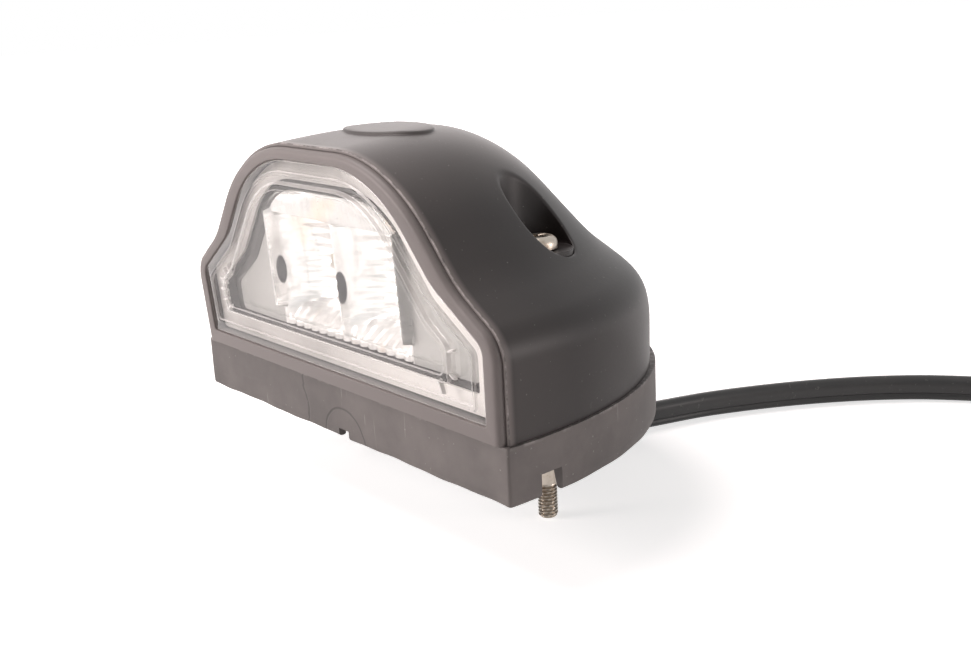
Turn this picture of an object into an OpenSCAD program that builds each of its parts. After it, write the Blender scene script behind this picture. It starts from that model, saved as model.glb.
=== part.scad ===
// Number plate lamp for a truck or trailer.
// A black moulded dome with a flat, slightly overhanging face carries a clear
// bell-shaped lens. It stands on a hollow rubber base, and two long screws go
// down through wells in its flanks into the panel that it is fixed to.
// Frame: Z up, the lens looks along -Y, and the origin lies on the mounting
// face, midway between the two screws.

/* [Base] */
// Width of the rubber base across its flat front
base_w = 110; // [106:1:118]
// Depth of the rubber base from front to back
base_d = 71; // [69:1:78]
// Height of the rubber base
base_h = 11; // [9:0.5:14]
// Fullness of the rounded plan, 2 is an ellipse
plan_power = 2.1; // [2:0.05:2.4]
// Wall of the base where it meets its shelf
base_wall = 4.2; // [3:0.1:6]
// Wall of the base at its bottom lip
lip_wall = 1.6; // [1.2:0.1:2.6]
// Thickness of the shelf that the housing stands on
shelf_t = 2.4; // [1.6:0.1:4]
// Width of the shelf, from the outside of the base inwards
shelf_w = 12; // [10:0.5:14]
// Width of the drain notch in each flank of the base
notch_w = 5.2; // [3:0.1:8]
// Height of the drain notches
notch_h = 4.3; // [2:0.1:6]
// Distance of the flank notches behind the flat front
notch_back = 10.2; // [8:0.1:16]
// Width of the small notch in the front of the base
gate_w = 3.6; // [2:0.1:6]
// Height of the small notch in the front of the base
gate_h = 1.8; // [1:0.1:3]
// Place of the small notch beside the middle
gate_x = 2; // [-10:0.5:10]

/* [Housing] */
// Height of the roof line above the mounting face
house_top = 59.4; // [56:0.2:66]
// Rise of the roof behind the front rim
house_crown = 1.5; // [0:0.1:2.5]
// Forward lean of the face in degrees
lean = 3; // [0:0.5:5]
// Overhang of the housing's shoulder beyond the base on each side
shoulder_over = 0.4; // [-1:0.1:2]
// Height of the shoulder corner
shoulder_z = 29.8; // [27:0.2:32]
// Radius of the shoulder
shoulder_r = 7.5; // [4:0.5:8]
// Distance of the hollow of the bell outline inside the base's side
waist_in = 11.2; // [9:0.2:13]
// Height of the hollow of the bell outline
waist_z = 37.7; // [36:0.2:40]
// Radius of the hollow of the bell outline
waist_r = 25; // [10:1:30]
// Distance of the corner of the roof line inside the base's side
roof_in = 28.8; // [26:0.2:32]
// Half length of the flat part of the roof line
roof_flat = 9; // [6:0.5:14]
// Draft of the side walls from shoulder to base
side_draft = 1.1; // [0:0.1:2]
// Depth of the back at its shoulder
back_y = 69; // [66:0.5:70]
// Height of the shoulder of the back
back_z = 26.4; // [24:0.2:29]
// Radius of the shoulder of the back
back_r = 14; // [8:0.5:15]
// Depth at the hollow of the back
back_waist_y = 57.8; // [55:0.2:60]
// Height of the hollow of the back
back_waist_z = 36.6; // [34:0.2:39]
// Depth of the corner of the roof line at the back
back_roof_y = 38.6; // [35:0.2:42]
// Radius of the corner of the roof line at the back
back_roof_r = 28; // [16:1:30]
// Wall of the housing
shell_t = 2.4; // [1.8:0.1:3.2]
// Thickness of the front wall behind the face
front_t = 5; // [4.4:0.1:6]
// Depth of the rounded nose in front of the dome
nose_d = 1.8; // [1:0.1:2.5]
// Step between the nose and the dome
nose_step = 0.7; // [0.3:0.1:1.2]
// Length of the oval pad on the roof, across the lamp
pad_w = 24; // [16:1:30]
// Width of the oval pad on the roof, front to back
pad_l = 15; // [10:1:18]
// Distance of the oval pad behind the front
pad_back = 17; // [14:1:22]
// Height of the oval pad above the roof
pad_h = 0.6; // [0.3:0.1:1]

/* [Screws] */
// Distance of each screw inside the base's side
screw_in = 23.5; // [21:0.25:26]
// Distance of the screws behind the flat front
screw_back = 28.5; // [26:0.5:31]
// Thread diameter
screw_d = 4; // [3:0.5:5]
// Length of the screw under its head
screw_l = 55; // [50:1:60]
// Height of the well floor that the head rests on
well_z = 38.4; // [36:0.2:40]
// Diameter of the screw wells
well_d = 13.5; // [11:0.1:14]
// Wall round the screw wells
well_wall = 2.2; // [1.4:0.1:3]
// Thickness of the floor of the screw wells
well_floor = 3.2; // [2.4:0.1:5]
// Diameter of the pillars under the wells
pillar_d = 9; // [8:0.2:11]
// Gap between the pillars and the mounting face
pillar_gap = 0.8; // [0.4:0.1:1.5]
// Clearance of the screw in its hole
screw_play = 0.5; // [0.3:0.1:1]
// Diameter of the screw head
head_d = 7.6; // [7:0.1:9]
// Height of the screw head
head_h = 2.8; // [2:0.1:3.5]
// How much thinner the plain shank is than the thread
shank_less = 0.25; // [0:0.05:0.5]
// How much thinner the shank is inside the pillar than below it
neck_less = 0.3; // [0.2:0.05:0.6]
// Width of the cross recess in the head
recess_w = 1.1; // [0.8:0.1:1.4]
// Length of the threaded end
thread_l = 7; // [5:0.5:20]
// Pitch of the thread
thread_pitch = 0.7; // [0.5:0.05:1]

/* [Lens] */
// Margin between the housing's roof line and the lens
lens_top = 3.2; // [2.6:0.1:4.5]
// Margin along the steep flank
lens_flank = 4.9; // [4:0.1:5.6]
// Margin along the shallow flank
lens_waist = 3.7; // [3.4:0.1:4.5]
// Margin at the sides
lens_side = 4.4; // [4:0.1:5.5]
// Margin above the base
lens_foot = 3; // [2.4:0.1:4]
// Thickness of the lens flange
lens_t = 2.2; // [1.8:0.1:2.6]
// Depth of the lens face behind the nose
lens_recess = 0.3; // [0.1:0.1:0.6]
// Gap round the lens in its seat
lens_play = 0.2; // [0.1:0.05:0.4]
// Width of the outer band of the flange
band_w = 2.3; // [1.6:0.1:3]
// Height of the ridge between the bands
ridge_h = 0.5; // [0.2:0.1:0.8]
// Width of the ridge between the bands
ridge_w = 0.8; // [0.5:0.1:1.2]
// Height of the raised window above the flange
raise_h = 1; // [0.5:0.1:1.6]
// Margin between lens edge and window at the top
win_top = 6; // [5:0.1:7.5]
// Margin between lens edge and window along the steep flank
win_flank = 6.6; // [5.6:0.1:8]
// Margin between lens edge and window along the shallow flank
win_waist = 7.6; // [7:0.1:9]
// Margin between lens edge and window at the sides
win_side = 10.6; // [9.5:0.1:12]
// Margin between lens edge and window at the bottom
win_foot = 7.4; // [6:0.1:8.5]
// Width of the raised border round the window
border_w = 1.4; // [1:0.1:2]
// Wall of the skirt behind the window
skirt_t = 1.2; // [0.8:0.1:1.6]
// Depth of the skirt behind the flange
skirt_d = 1.8; // [1:0.1:2.2]
// Thickness of the lens seal
seal_t = 0.6; // [0.4:0.1:0.8]
// Width of the lens seal
seal_w = 4; // [2:0.1:4]
// Number of moulded ribs round the left lower corner
corner_ribs = 6; // [4:1:8]

/* [Reflector and board] */
// Thickness of the reflector's mounting plate
plate_t = 1.4; // [1:0.1:2]
// Radius of the reflector's two bowls
bowl_r = 12; // [11:0.1:12.5]
// Depth of the bowls
bowl_d = 8; // [6:0.1:9]
// Wall of the bowls
bowl_wall = 1.2; // [0.8:0.1:1.4]
// Height of the bowls' centres up the face
bowl_z = 32; // [30:0.2:34]
// Radius of the hole at the bottom of each bowl
bowl_hole_r = 3.6; // [3.2:0.1:4.2]
// Distance of each end of the circuit board inside the base's side
board_in = 24; // [22:0.5:26]
// Height of the circuit board
board_h = 24; // [20:1:26]
// Thickness of the circuit board
board_t = 1.6; // [1:0.1:2]
// Distance of the board screws inside the ends of the board
board_hole_in = 4; // [3:0.5:6]
// Diameter of the posts that carry the board
post_d = 5; // [4:0.2:6]
// Diameter of the board screws
board_screw_d = 2.2; // [1.8:0.1:2.6]
// Width of each light-emitting diode
led_w = 4.2; // [3.4:0.1:4.6]

/* [Closing plate and gland] */
// Thickness of the plate that closes the housing
close_t = 2; // [1.6:0.1:2.6]
// Gap round the closing plate
close_play = 0.25; // [0.15:0.05:0.5]
// Diameter of the gland's body
gland_d = 10; // [9:0.2:12]
// Diameter of the gland's rims
gland_rim_d = 14; // [12:0.5:17]
// Diameter of the gland's outer end
gland_tip_d = 8; // [7.4:0.1:9]

/* [Cable] */
// Width of the flat twin cable
cable_w = 6.6; // [6:0.1:7]
// Thickness of the flat twin cable
cable_t = 3.6; // [3:0.1:4]
// Diameter of each insulated core
core_d = 2.2; // [1.8:0.1:2.6]
// Length of the cores beyond the sheath at the free end
core_free = 24; // [16:1:34]
// Length of bare copper on each core
bare_l = 6; // [4:0.5:10]

/* [Hidden] */

// Fineness of round edges, lofted rings and exact round parts
arc_steps = 5;
ring_steps = 36;
ring_count = 22;
fine = 48;
lap = 0.2;

// Places across the lamp that follow from the width of the base
shoulder_x = base_w / 2 + shoulder_over;
waist_x = base_w / 2 - waist_in;
roof_x = base_w / 2 - roof_in;
screw_span = base_w - 2 * screw_in;
roof_r = (roof_x - roof_flat)
    * tan(acos([-1, 0] * unit([waist_x - roof_x, waist_z - house_top])) / 2);
board_w = base_w - 2 * board_in;
board_span = board_w - 2 * board_hole_in;
resistor_x = board_w * 0.275;
diode_x = board_w * 0.13;
can_x = board_w * 0.1;

// Corners of the front and back outlines, from the roof down to the base
front_corners = [[0, house_top], [roof_x, house_top], [waist_x, waist_z],
                 [shoulder_x, shoulder_z], [shoulder_x - side_draft, base_h]];
back_corners = [[0, house_top], [back_roof_y, house_top], [back_waist_y, back_waist_z],
                [back_y, back_z], [back_y + 0.2, base_h]];
lens_margins = [lens_top, lens_flank, lens_waist, lens_side, lens_foot];
window_margins = lens_margins + [win_top, win_flank, win_waist, win_side, win_foot];
seat_d = lens_recess + lens_t + seal_t;
board_depth = front_t + bowl_d + 2.6;
close_z = base_h;
back_waist_r = waist_r;
screw_tip = well_z - screw_l;
floor_z = screw_tip;

// Route of the cable from the gland, over the floor and out of sight
cable_path = [[0, 8, 4], [0, 8.6, 0], [0.3, 10.6, -4], [0.8, 14, -7.8],
              [1.4, 18.8, -10.9], [2.4, 24.6, -12.7], [3.6, 31, -13.2],
              [5.1, 38.5, -13.3], [7, 47, -13.3], [9.1, 55, -13.3],
              [12.2, 66, -13.3], [15.4, 74, -13.3], [19.2, 82, -13.3],
              [23.6, 90, -13.3], [28.8, 98, -13.3], [35, 106, -13.3], [42.4, 113.6, -13.3],
              [51.2, 120.2, -13.3], [60.3, 126, -13.3], [70, 131.2, -13.3],
              [80.6, 135.3, -13.3], [91.8, 138.3, -13.3], [103, 139.6, -13.3],
              [114, 139.9, -13.3]];
// The stored coil, and the short end that lies inside it
coil_at = [114, 101];
coil_mid_r = 33.4;
end_r = coil_mid_r - 1.5 * cable_t - 0.1;
function in_coil(angle, r, z = floor_z + cable_w / 2) =
    [coil_at.x + r * cos(angle), coil_at.y + r * sin(angle), z];

function unit(v) = v / norm(v);

// Points of an arc of radius r that rounds the corner b between a and c
function corner_arc(a, b, c, r, steps = arc_steps) =
    let(u = unit(a - b), w = unit(c - b), half = acos(u * w) / 2,
        m = b + unit(u + w) * r / sin(half),
        p = b + u * r / tan(half) - m, q = b + w * r / tan(half) - m,
        from = atan2(p.y, p.x), turn = (atan2(q.y, q.x) - from + 540) % 360 - 180)
    [for (i = [0:steps]) m + r * [cos(from + turn * i / steps), sin(from + turn * i / steps)]];

// Line from a to b moved sideways into the outline, and where two such lines cross
function edge_in(a, b, gap) = let(u = unit(b - a)) [a + gap * [u.y, -u.x], u];
function crossing(e, f) = e[0] + e[1] * cross(f[0] - e[0], f[1]) / cross(e[1], f[1]);

// Corners of an outline that lies inside the given one by a margin for each edge
function inset(c, m) =
    let(e = [for (i = [0:3]) edge_in(c[i], c[i + 1], m[i])], foot = [[0, c[4].y + m[4]], [1, 0]])
    [[0, c[0].y - m[0]], crossing(e[0], e[1]), crossing(e[1], e[2]), crossing(e[2], e[3]),
     crossing(e[3], foot)];

// Half outline with its three inner corners rounded, from the roof down
function half_outline(c, r) =
    concat(corner_arc(c[0], c[1], c[2], r[0]), corner_arc(c[1], c[2], c[3], r[1]),
           corner_arc(c[2], c[3], c[4], r[2]), [c[4]]);
function whole_outline(h) =
    concat(h, [for (i = [len(h) - 1:-1:0]) [-h[i].x, h[i].y]]);

// Closed bell outline, inside the rim by margins m plus an even inset t
function bell(m, t = 0) =
    let(all = m + t * [1, 1, 1, 1, 1])
    whole_outline(half_outline(inset(front_corners, all),
        [max(roof_r - all[0] * 1.2 - all[1] * 0.6, 6), waist_r * (all[1] > 9 ? 0.3 : 0.8),
         max(shoulder_r - all[3], 2.4)]));

// Half width and depth of the dome at a height, inside the outer skin by t
function skin(c, r, t) = half_outline(inset(c, [t, t, t, t, 0]), r);
function at_height(h, z) = lookup(z, [for (i = [len(h) - 1:-1:0]) [h[i].y, h[i].x]]);
function signed_power(a, e) = sign(a) * pow(abs(a), e);

// D-shaped ring at height z: half width w at the line f, back at d, cut off at the line g
function d_ring(w, d, f, g, z, rise = 0, steps = ring_steps) =
    let(start = asin(pow(max(0, g - f) / (d - f), plan_power / 2)))
    [for (i = [0:steps])
        let(a = start + (180 - 2 * start) * i / steps,
            y = f + (d - f) * pow(sin(a), 2 / plan_power))
        [w * signed_power(cos(a), 2 / plan_power), y,
         z + rise * sin(min(180, max(0, 180 * (y - f) / 46)))]];

// Rings of the dome from the base to the roof, inside the skin by t, cut off at depth g
function dome_rings(t, g, steps, count, from = base_h, lift = 0) =
    let(wide = skin(front_corners, [roof_r - t, waist_r, shoulder_r], t),
        deep = skin(back_corners, [back_roof_r - t, back_waist_r, back_r], t),
        top = house_top - t)
    [for (j = [0:count])
        let(u = j / count, z = from + (top - from) * (1 - pow(1 - u, 1.5)),
            k = max(0, (z - waist_z) / (top - waist_z)))
        d_ring(at_height(wide, z), at_height(deep, z), nose_d - z * tan(lean),
               g - z * tan(lean), z + lift, house_crown * k * k, steps)];

// Solid through a stack of D-shaped rings, capped with strips across the ring
module loft(rings) {
    n = len(rings[0]);
    m = len(rings) - 1;
    function at(j, i) = j * n + (i + n) % n;
    sides = [for (j = [0:m - 1], i = [0:n - 1], k = [0, 1])
        k == 0 ? [at(j, i), at(j + 1, i), at(j + 1, i + 1)]
               : [at(j, i), at(j + 1, i + 1), at(j, i + 1)]];
    half = floor((n - 1) / 2);
    caps = [for (i = [0:half - 1])
        i + 1 == n - 2 - i ? [at(0, i), at(0, i + 1), at(0, n - 1 - i)]
            : [at(0, i), at(0, i + 1), at(0, n - 2 - i), at(0, n - 1 - i)]];
    lids = [for (i = [0:half - 1])
        i + 1 == n - 2 - i ? [at(m, n - 1 - i), at(m, i + 1), at(m, i)]
            : [at(m, n - 1 - i), at(m, n - 2 - i), at(m, i + 1), at(m, i)]];
    polyhedron([for (r = rings) each r], concat(sides, caps, lids), convexity = 6);
}

// Tube of the given half sizes swept along a list of points
module swept(path, a, b, sides = 8) {
    n = len(path);
    function heading(i) = unit(path[min(i + 1, n - 1)] - path[max(i - 1, 0)]);
    function across(i) = unit(cross(heading(i), [0.05, 0.03, 1]));
    points = [for (i = [0:n - 1], s = [0:sides - 1])
        let(x = across(i), u = cross(x, heading(i)), g = 360 * s / sides)
        path[i] + a * cos(g) * x + b * sin(g) * u];
    skin = [for (i = [0:n - 2], s = [0:sides - 1], k = [0, 1])
        let(p = i * sides + s, q = i * sides + (s + 1) % sides)
        k == 0 ? [p, q + sides, p + sides] : [p, q, q + sides]];
    polyhedron(points, concat(skin, [[for (s = [sides - 1:-1:0]) s]],
        [[for (s = [0:sides - 1]) (n - 1) * sides + s]]), convexity = 4);
}

// Smooth points through a hand-chosen route, with extra ones between each pair
function spline_at(p, i, t) =
    let(n = len(p), a = p[max(i - 1, 0)], b = p[i], c = p[i + 1], d = p[min(i + 2, n - 1)])
    0.5 * ((2 * b) + (c - a) * t + (2 * a - 5 * b + 4 * c - d) * t * t
           + (3 * b - a - 3 * c + d) * t * t * t);
function smooth_path(p, each_n) =
    concat([for (i = [0:len(p) - 2], k = [0:each_n - 1]) spline_at(p, i, k / each_n)],
           [p[len(p) - 1]]);

// The lamp is drawn from its flat front, then moved so that the screws centre it
module from_front() { translate([0, -screw_back, 0]) children(); }

// Frame of the leaning face: Y is the depth behind the face, Z runs up it
module on_face() { from_front() rotate([lean, 0, 0]) children(); }
module plate(outline, from, to) {
    translate([0, to, 0]) rotate([90, 0, 0]) linear_extrude(to - from) polygon(outline);
}
module frame_plate(outer, inner, from, to) {
    difference() {
        plate(outer, from, to);
        plate(inner, from - lap, to + lap);
    }
}

function plan(t) = [for (p = d_ring(base_w / 2 - t, base_d - t, 0, t, 0)) [p.x, p.y]];

// Moulded dome with its rounded nose, lens seat, screw wells and pillars
module housing() {
    color("#3a3736") difference() {
        union() {
            from_front() difference() {
                loft(dome_rings(0, nose_d, ring_steps, ring_count));
                loft(dome_rings(shell_t, front_t, 20, 12, base_h - 1));
            }
            nose();
            from_front() roof_pad();
            from_front() intersection() {
                loft(dome_rings(0.4, front_t, ring_steps, ring_count));
                for (s = [-1, 1]) translate([s * screw_span / 2, screw_back, well_z - well_floor])
                    cylinder(d = well_d + 2 * well_wall, h = house_top, $fn = fine);
            }
            for (s = [-1, 1]) translate([s * screw_span / 2, 0, pillar_gap])
                cylinder(d = pillar_d, h = well_z - well_floor / 2 - pillar_gap, $fn = fine);
        }
        on_face() plate(bell(lens_margins, -lens_play), -1, seat_d);
        on_face() plate(bell(lens_margins, seal_w + 0.5), 0, front_t + 1);
        for (s = [-1, 1]) translate([s * screw_span / 2, 0, 0]) {
            translate([0, 0, well_z]) cylinder(d = well_d, h = house_top, $fn = fine);
            cylinder(d = screw_d + screw_play, h = house_top, $fn = fine);
        }
    }
}
// Front of the housing in two steps, cut level with the top of the base
module nose() {
    down = [0, 0, 0, 0, -3];
    difference() {
        on_face() union() {
            plate(bell(down, nose_step), 0.6, nose_d + lap);
            plate(bell(down, nose_step + 0.6), 0, nose_d);
        }
        translate([-base_w, -base_d, base_h - 8]) cube([2 * base_w, base_d, 8]);
    }
}
module roof_pad() {
    intersection() {
        loft(dome_rings(0, nose_d, ring_steps, ring_count, base_h, pad_h));
        translate([0, pad_back, house_top - 4]) linear_extrude(9)
            polygon([for (i = [0:31]) [pad_w / 2 * cos(i * 11.25), pad_l / 2 * sin(i * 11.25)]]);
    }
}

// Hollow rubber skirt with a thin lip, a shelf for the housing and drain notches
module base_pad() {
    color("#45413f") from_front() difference() {
        linear_extrude(base_h) polygon(plan(0));
        loft([d_ring(base_w / 2 - lip_wall, base_d - lip_wall, 0, lip_wall, -lap),
              d_ring(base_w / 2 - base_wall, base_d - base_wall, 0, base_wall,
                     base_h - shelf_t)]);
        translate([0, 0, -1]) linear_extrude(base_h + 2) polygon(plan(shelf_w));
        for (s = [-1, 1]) translate([s * base_w / 2, notch_back, 0])
            cube([3 * base_wall, notch_w, 2 * notch_h], center = true);
        translate([gate_x, 0, 0]) cube([gate_w, 2 * lip_wall + 1, 2 * gate_h], center = true);
    }
}

// Plate that closes the housing from below, with holes for pillars and gland
module closing_plate() {
    front_at = nose_d - close_z * tan(lean);
    color("#2e2c2b") difference() {
        from_front() translate([0, 0, close_z]) linear_extrude(close_t)
            polygon([for (p = d_ring(shoulder_x - side_draft - shell_t - close_play,
                                     back_y - shell_t - close_play, front_at,
                                     front_at + front_t - nose_d + close_play, 0))
                     [p.x, p.y]]);
        for (s = [-1, 1]) translate([s * screw_span / 2, 0, 0])
            cylinder(d = pillar_d + 2 * close_play, h = house_top, $fn = fine);
        translate([cable_path[0].x, cable_path[0].y, 0])
            cylinder(d = gland_d, h = house_top, $fn = fine);
    }
}

// Clear moulded lens: flange with a ridge, raised window, skirt and corner ribs
module lens() {
    flat = bell(lens_margins);
    window = bell(window_margins);
    color("#d9dde0", 0.5) on_face() {
        difference() {
            union() {
                plate(flat, lens_recess, lens_recess + lens_t);
                frame_plate(bell(lens_margins, band_w), bell(lens_margins, band_w + ridge_w),
                            lens_recess - ridge_h, lens_recess + lap);
                plate(bell(window_margins, -border_w), lens_recess - raise_h,
                      lens_recess + lens_t);
                frame_plate(bell(window_margins, -skirt_t), window,
                            lens_recess + lens_t - lap, lens_recess + lens_t + skirt_d);
                corner_rib_fan();
            }
            plate(bell(window_margins, 0.6), lens_recess + lens_t - raise_h, front_t);
        }
    }
}
module corner_rib_fan() {
    side_x = shoulder_x - side_draft - lens_side - win_side;
    foot_z = base_h + lens_foot + win_foot;
    for (s = [-1, 1], i = [0:corner_ribs - 1])
        if (s < 0 || i % 2 == 0)
            translate([s * (side_x - 3), lens_recess - raise_h / 2, foot_z + 3])
                rotate([0, s < 0 ? 140 + 110 * i / (corner_ribs - 1)
                                 : -40 + 110 * (1 - i / (corner_ribs - 1)), 0])
                    translate([4.2, 0, -0.3]) cube([3, raise_h / 2 + lap, 0.6]);
}

// Flat seal behind the edge of the lens
module lens_seal() {
    color("#1f1e1e") on_face()
        frame_plate(bell(lens_margins, 0.3), bell(lens_margins, 0.3 + seal_w),
                    lens_recess + lens_t, seat_d);
}

// Bright reflector: plate with collar, two bowls and posts for the board
module bowl_shape(extra) {
    steps = 10;
    rotate([-90, 0, 0]) rotate_extrude($fn = fine)
        polygon(concat(
            [for (i = [0:steps]) let(r = bowl_hole_r + (bowl_r - bowl_hole_r) * i / steps)
                [r, bowl_d * (1 - pow(r / bowl_r, 2)) - extra]],
            [for (i = [steps:-1:0]) let(r = bowl_hole_r + (bowl_r - bowl_hole_r) * i / steps)
                [r, bowl_d * (1 - pow(r / bowl_r, 2)) + bowl_wall]]));
}
module reflector() {
    collar = window_margins + [0.8, 0.8, 0.8, 0.8, 0.8];
    color("#e8e6e2") on_face() difference() {
        union() {
            plate(bell([0, 0, 0, 0, shell_t], shell_t + 0.9), front_t, front_t + plate_t);
            frame_plate(bell(collar), bell(collar, 1), lens_recess + lens_t - 0.4, front_t + lap);
            for (s = [-1, 1]) translate([s * bowl_r, front_t, bowl_z]) bowl_shape(0);
            for (s = [-1, 1]) translate([s * board_span / 2, front_t, bowl_z])
                rotate([-90, 0, 0]) cylinder(d = post_d, h = board_depth - front_t, $fn = 24);
        }
        for (s = [-1, 1]) translate([s * bowl_r, front_t - lap, bowl_z]) rotate([-90, 0, 0])
            cylinder(r = bowl_r - 0.5, h = plate_t + 0.3, $fn = fine);
        for (s = [-1, 1]) translate([s * board_span / 2, board_depth - 6, bowl_z])
            rotate([-90, 0, 0]) cylinder(d = board_screw_d + 0.1, h = 8, $fn = 24);
    }
}

// Circuit board with its two screw holes
module circuit_board() {
    color("#2f5d3a") on_face() difference() {
        translate([-board_w / 2, board_depth, bowl_z - board_h / 2])
            cube([board_w, board_t, board_h]);
        for (s = [-1, 1]) translate([s * board_span / 2, board_depth - 1, bowl_z])
            rotate([-90, 0, 0])
                cylinder(d = board_screw_d + 0.3, h = board_t + 2, $fn = 24);
    }
}
module board_screw(s) {
    color("#b9b6b0") on_face() translate([s * board_span / 2, board_depth, bowl_z])
        rotate([-90, 0, 0]) {
            translate([0, 0, board_t]) difference() {
                cylinder(d1 = 4.4, d2 = 3, h = 1.3, $fn = 24);
                for (a = [0, 90]) rotate([0, 0, a]) translate([-1.1, -0.25, 0.7])
                    cube([2.2, 0.5, 1]);
            }
            translate([0, 0, -4]) cylinder(d = board_screw_d, h = board_t + 4, $fn = 24);
        }
}

// Diode package with its domed lens, on the front of the board
module led(s) {
    color("#f3e7b0") on_face() translate([s * bowl_r, board_depth, bowl_z]) {
        translate([-led_w / 2, -1, -led_w / 2]) cube([led_w, 1, led_w]);
        translate([0, -1, 0]) intersection() {
            sphere(r = led_w * 0.4, $fn = 32);
            translate([-led_w, -led_w, -led_w]) cube([2 * led_w, led_w, 2 * led_w]);
        }
    }
}

// Small parts on the back of the board
module on_board_back(x, z) {
    on_face() translate([x, board_depth + board_t, bowl_z + z]) children();
}
module resistor(s) {
    color("#242322") on_board_back(s * resistor_x, 5) translate([-3.1, 0, -1.6]) union() {
        cube([6.2, 0.7, 3.2]);
        for (x = [0, 5.4]) translate([x, 0, 0]) cube([0.8, 0.9, 3.2]);
    }
}
module diode() {
    color("#1d1c1c") on_board_back(diode_x, 6) translate([-2.2, 0, -1.3]) union() {
        translate([0, 0.3, 0]) cube([4.4, 2, 2.6]);
        for (x = [-0.5, 3.9]) translate([x, 0, 0.5]) cube([1, 1.1, 1.6]);
    }
}
module capacitor() {
    color("#c9c7c3") on_board_back(-can_x, 4.5) union() {
        translate([-3.3, 0, -3.3]) cube([6.6, 1, 6.6]);
        rotate([-90, 0, 0]) cylinder(d = 6.2, h = 5.4, $fn = 32);
    }
}
module driver_chip() {
    color("#1d1c1c") on_board_back(0, -5.5) translate([-2.5, 0, -2]) union() {
        translate([0, 0.2, 0]) cube([5, 1.5, 4]);
        for (i = [0:3], z = [-0.9, 3.9]) translate([0.4 + i * 1.27, 0, z]) cube([0.4, 0.6, 1]);
    }
}

// Long pan-head screw, cross recess above and a thread at its lower end
module screw(s) {
    color("#cdbda6") translate([s * screw_span / 2, 0, 0]) union() {
        difference() {
            translate([0, 0, well_z]) rotate_extrude($fn = fine)
                polygon([[0, 0], [head_d / 2, 0], [head_d / 2, head_h * 0.45],
                         [head_d * 0.46, head_h * 0.7], [head_d * 0.36, head_h * 0.9],
                         [head_d * 0.2, head_h], [0, head_h]]);
            for (a = [0, 90]) rotate([0, 0, a])
                translate([-head_d * 0.3, -recess_w / 2, well_z + head_h * 0.45])
                    cube([head_d * 0.6, recess_w, head_h]);
        }
        translate([0, 0, screw_tip + thread_l])
            cylinder(d = screw_d - shank_less, h = -screw_tip - thread_l, $fn = fine);
        translate([0, 0, -lap])
            cylinder(d = screw_d - shank_less - neck_less, h = well_z + 2 * lap, $fn = fine);
        translate([0, 0, screw_tip]) rotate_extrude($fn = fine) polygon(thread_profile());
    }
}
// Grooved rings stand for the thread; the end is chamfered
function thread_profile() =
    let(r = screw_d / 2, point = screw_d * 0.15, deep = thread_pitch * 0.57,
        turns = floor((thread_l - point) / thread_pitch) - 1)
    concat([[0, 0], [r - point, 0], [r - 0.1 * point, point]],
           [for (i = [0:turns - 1], k = [0, 1])
               [r - (k == 0 ? deep : 0), point + (i + 0.5 + k * 0.5) * thread_pitch]],
           [[r - deep * 0.75, thread_l], [0, thread_l]]);

// Rubber gland with a groove for the closing plate and a tapered nose
module cable_gland() {
    rim_t = 1.6;
    at = cable_path[0];
    below = close_z - rim_t - at.z;
    color("#262424") translate([at.x, at.y, close_z]) rotate_extrude($fn = fine) polygon([
        [core_d + 0.4, close_t + rim_t], [gland_rim_d / 2, close_t + rim_t],
        [gland_rim_d / 2, close_t], [gland_d / 2 - 0.1, close_t], [gland_d / 2 - 0.1, 0],
        [gland_rim_d / 2, 0], [gland_rim_d / 2, -rim_t * 0.6], [gland_rim_d / 2 - 0.8, -rim_t],
        [gland_d / 2, -rim_t], [gland_tip_d / 2, -rim_t - below], [0, -rim_t - below],
        [0, close_t], [core_d + 0.4, close_t]]);
}
module orient(v) {
    rotate([0, acos(v.z / norm(v)), atan2(v.y, v.x)]) children();
}

// Inner leads from the gland up to the back of the board
module core(s, name) {
    low = cable_path[0] + [s * 1.3, 0, close_z + close_t - cable_path[0].z + 0.1];
    back = board_depth + board_t - screw_back + 0.1;
    up = bowl_z - board_h / 2 + 2.5;
    top = [s * 3, back * cos(lean) - up * sin(lean), up * cos(lean) + back * sin(lean)];
    color(name) swept([low, low + [0, -0.4, 3], low + [s * 0.5, -2.4, 6.4],
        low + [s * 1.1, -6.6, 9], top + [0, 5.5, -0.6], top], core_d / 2, core_d / 2);
}

// Cable, its stored coil, the tie that holds the coil and the two bare ends
module cable() {
    color("#2a2727") swept(smooth_path(cable_path, 2), cable_t / 2, cable_w / 2);
}
module cable_end() {
    color("#2a2727") swept([for (a = [4:-8:-36]) in_coil(a, end_r)], cable_t / 2, cable_w / 2);
}
module cable_coil() {
    color("#2a2727") translate([coil_at.x, coil_at.y, floor_z]) rotate_extrude($fn = 64)
        translate([coil_mid_r - cable_t, 0]) square([2 * cable_t, cable_w]);
}
module cable_tie() {
    side = 2 * cable_t + 1.8;
    color("#d8d6d0") translate([coil_at.x - coil_mid_r, coil_at.y, floor_z]) difference() {
        translate([-side / 2, -1.8, 0]) cube([side, 3.6, cable_w + 1]);
        translate([-side / 2 + 0.8, -3, -1]) cube([side - 1.6, 6, cable_w + 1.05]);
    }
}
module end_core(s, name) {
    mid_z = floor_z + cable_w / 2 + s * core_d * 0.6;
    turn = core_free / end_r * 57.3 / 4;
    pull = (s + 3) * 0.5;
    last = in_coil(-36 - 4 * turn, end_r - 2 * pull, mid_z - 1.6);
    near = in_coil(-36 - 3 * turn, end_r - 1.2 * pull, mid_z - 1.2);
    ahead = unit(last - near);
    color(name) swept([in_coil(-36, end_r, mid_z), in_coil(-36 - turn, end_r - 0.2, mid_z - 0.2),
        in_coil(-36 - 2 * turn, end_r - 0.5 * pull, mid_z - 0.7), near, last],
        core_d / 2, core_d / 2);
    color("#b8763f") translate(last - 2 * ahead) orient(ahead)
        cylinder(d = core_d * 0.55, h = bare_l + 2, $fn = 16);
}

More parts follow.
